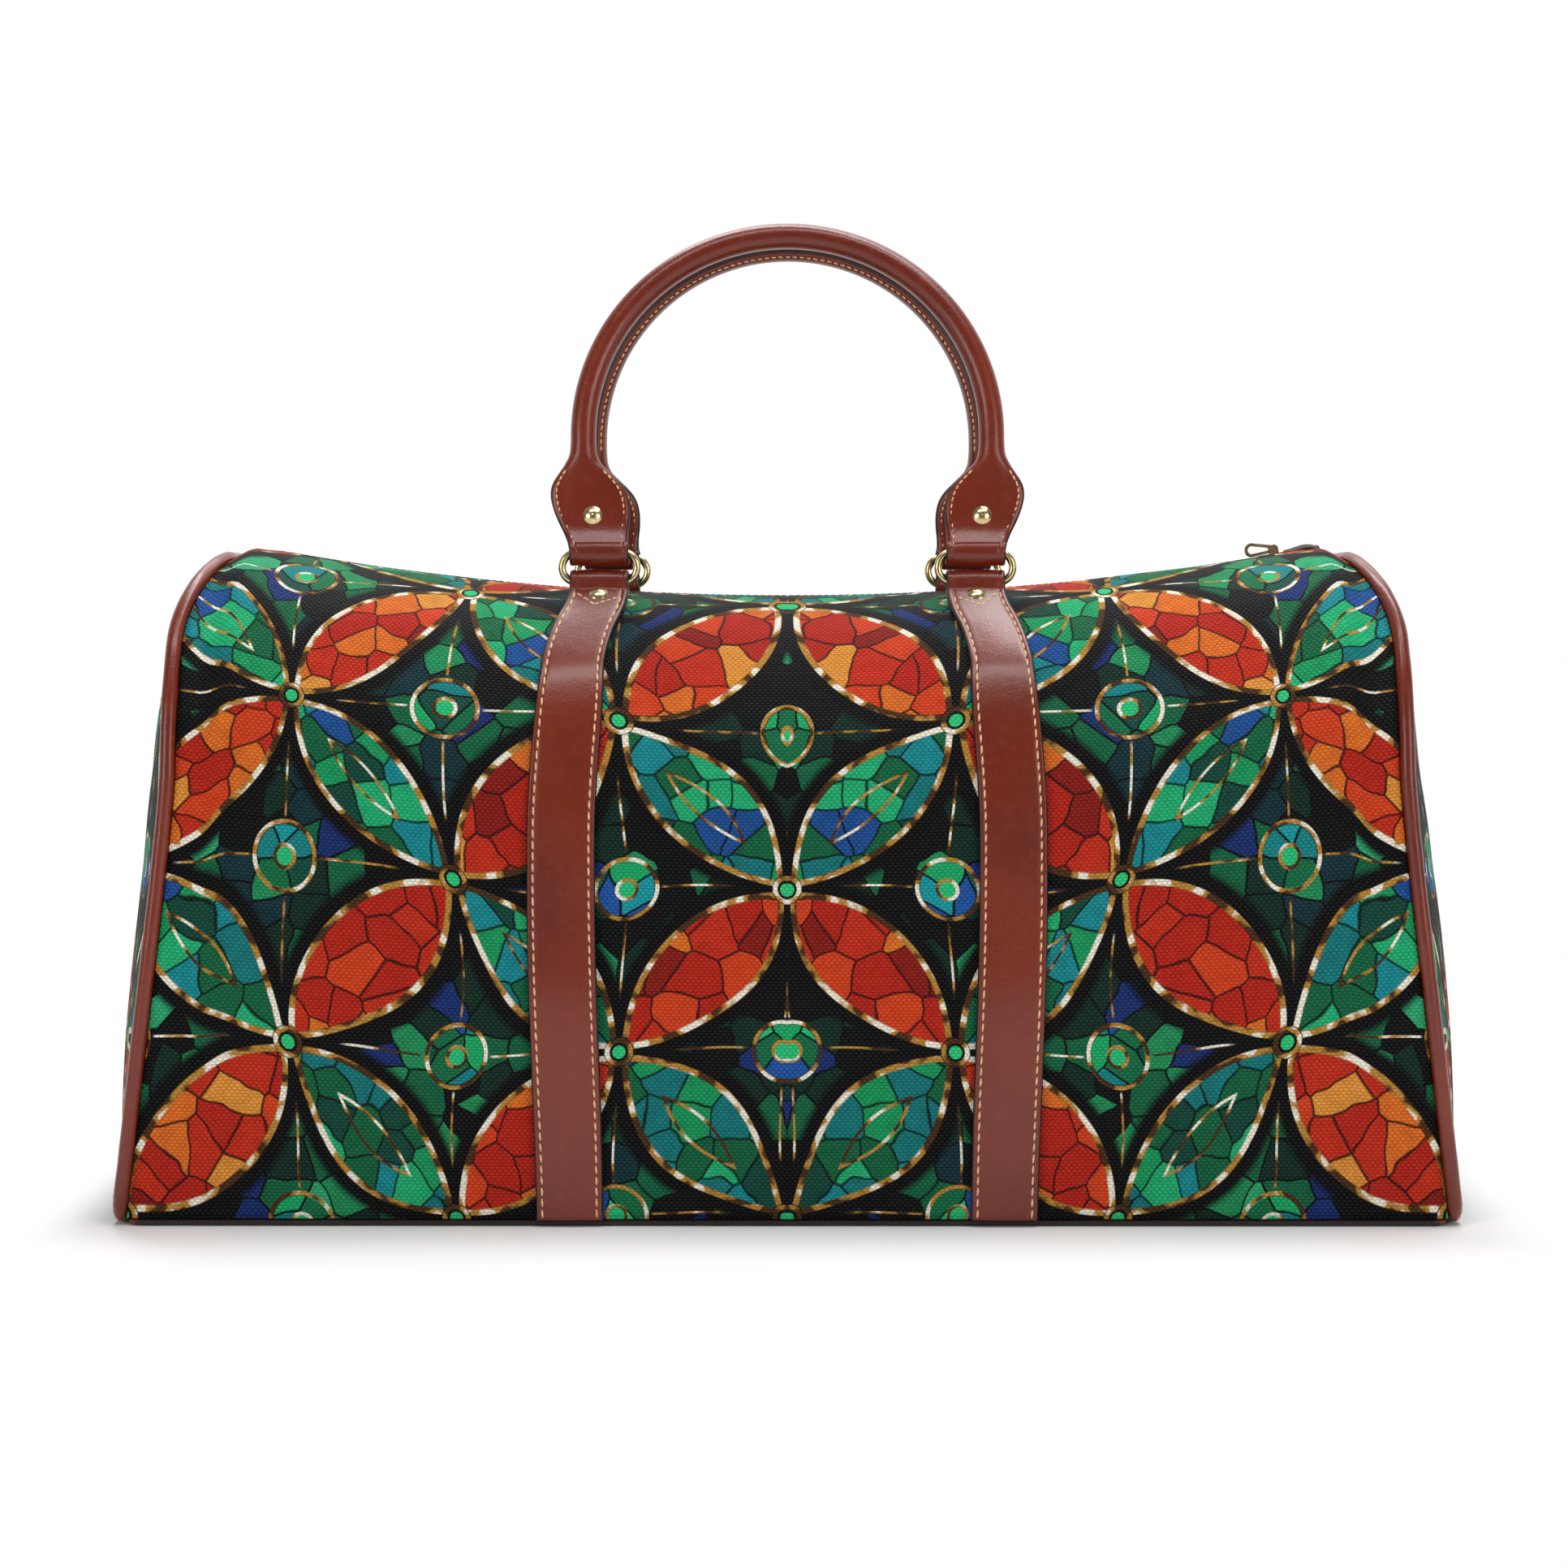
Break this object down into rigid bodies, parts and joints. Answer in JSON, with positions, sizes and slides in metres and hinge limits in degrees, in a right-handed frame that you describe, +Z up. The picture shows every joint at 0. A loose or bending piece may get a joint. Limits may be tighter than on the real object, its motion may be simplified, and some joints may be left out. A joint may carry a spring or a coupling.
{
  "type": "travel bag",
  "caption": "Soft weekend travel bag with a zipped, sagging top, piped ends, a leather base, sewn straps and rolled carry handles hung on oval metal rings.",
  "frame": {"origin": "middle of the underside of the base", "axes": "+X along the zip towards its closed end, -Y towards the front, +Z up"},
  "size_m": [0.6248, 0.2378, 0.4626],
  "materials": {
    "print_cloth": "printed woven polyester with a slight sheen",
    "leather": "smooth chestnut imitation leather with a low gloss",
    "gold_metal": "polished pale gold plating",
    "zip_cloth": "dark woven tape",
    "zip_plastic": "dark moulded nylon",
    "lining_cloth": "plain thin lining cloth",
    "board": "plain stiff board",
    "handle_core": "soft filler cord"
  },
  "bodies": {
    "bag": {"front_panel": "print_cloth", "back_panel": "print_cloth", "base_panel": "leather", "left_end_panel": "print_cloth", "right_end_panel": "print_cloth", "left_piping": "leather", "right_piping": "leather", "base_board": "board", "lining_body": "lining_cloth", "lining_left_end": "lining_cloth", "lining_right_end": "lining_cloth", "zip_tape_front": "zip_cloth", "zip_tape_back": "zip_cloth", "zip_teeth_front": "zip_plastic", "zip_teeth_back": "zip_plastic", "zip_stops": "gold_metal", "zip_tail": "zip_cloth", "front_left_strap": "leather", "front_right_strap": "leather", "back_left_strap": "leather", "back_right_strap": "leather", "strap_rivets": "gold_metal"},
    "front_rings": {"front_left_ring": "gold_metal", "front_right_ring": "gold_metal"},
    "back_rings": {"back_left_ring": "gold_metal", "back_right_ring": "gold_metal"},
    "front_handle": {"front_handle": "leather", "front_handle_core": "handle_core", "front_handle_rivets": "gold_metal"},
    "back_handle": {"back_handle": "leather", "back_handle_core": "handle_core", "back_handle_rivets": "gold_metal"},
    "zip_slider": {"zip_slider": "gold_metal"},
    "zip_pull": {"zip_pull": "gold_metal"}
  },
  "joints": [
    {"name": "front_rings_swing", "type": "hinge", "parent": "bag", "child": "front_rings", "pos_m": [0, -0.052, 0.29239], "axis": [1, 0, 0], "range_deg": [-5, 45]},
    {"name": "front_handle_swing", "type": "hinge", "parent": "front_rings", "child": "front_handle", "pos_m": [0, -0.052, 0.30639], "axis": [1, 0, 0], "range_deg": [-1, 100]},
    {"name": "back_rings_swing", "type": "hinge", "parent": "bag", "child": "back_rings", "pos_m": [0, 0.052, 0.29239], "axis": [-1, 0, 0], "range_deg": [-5, 45]},
    {"name": "back_handle_swing", "type": "hinge", "parent": "back_rings", "child": "back_handle", "pos_m": [0, 0.052, 0.30639], "axis": [-1, 0, 0], "range_deg": [-1, 100]},
    {"name": "zip_run", "type": "hinge", "parent": "bag", "child": "zip_slider", "pos_m": [0, 0, 1.686], "axis": [0, 1, 0], "range_deg": [0, 19.4]},
    {"name": "zip_pull_swing", "type": "hinge", "parent": "zip_slider", "child": "zip_pull", "pos_m": [0.23544, 0, 0.30929], "axis": [0, 1, 0], "range_deg": [0, 140]}
  ]
}
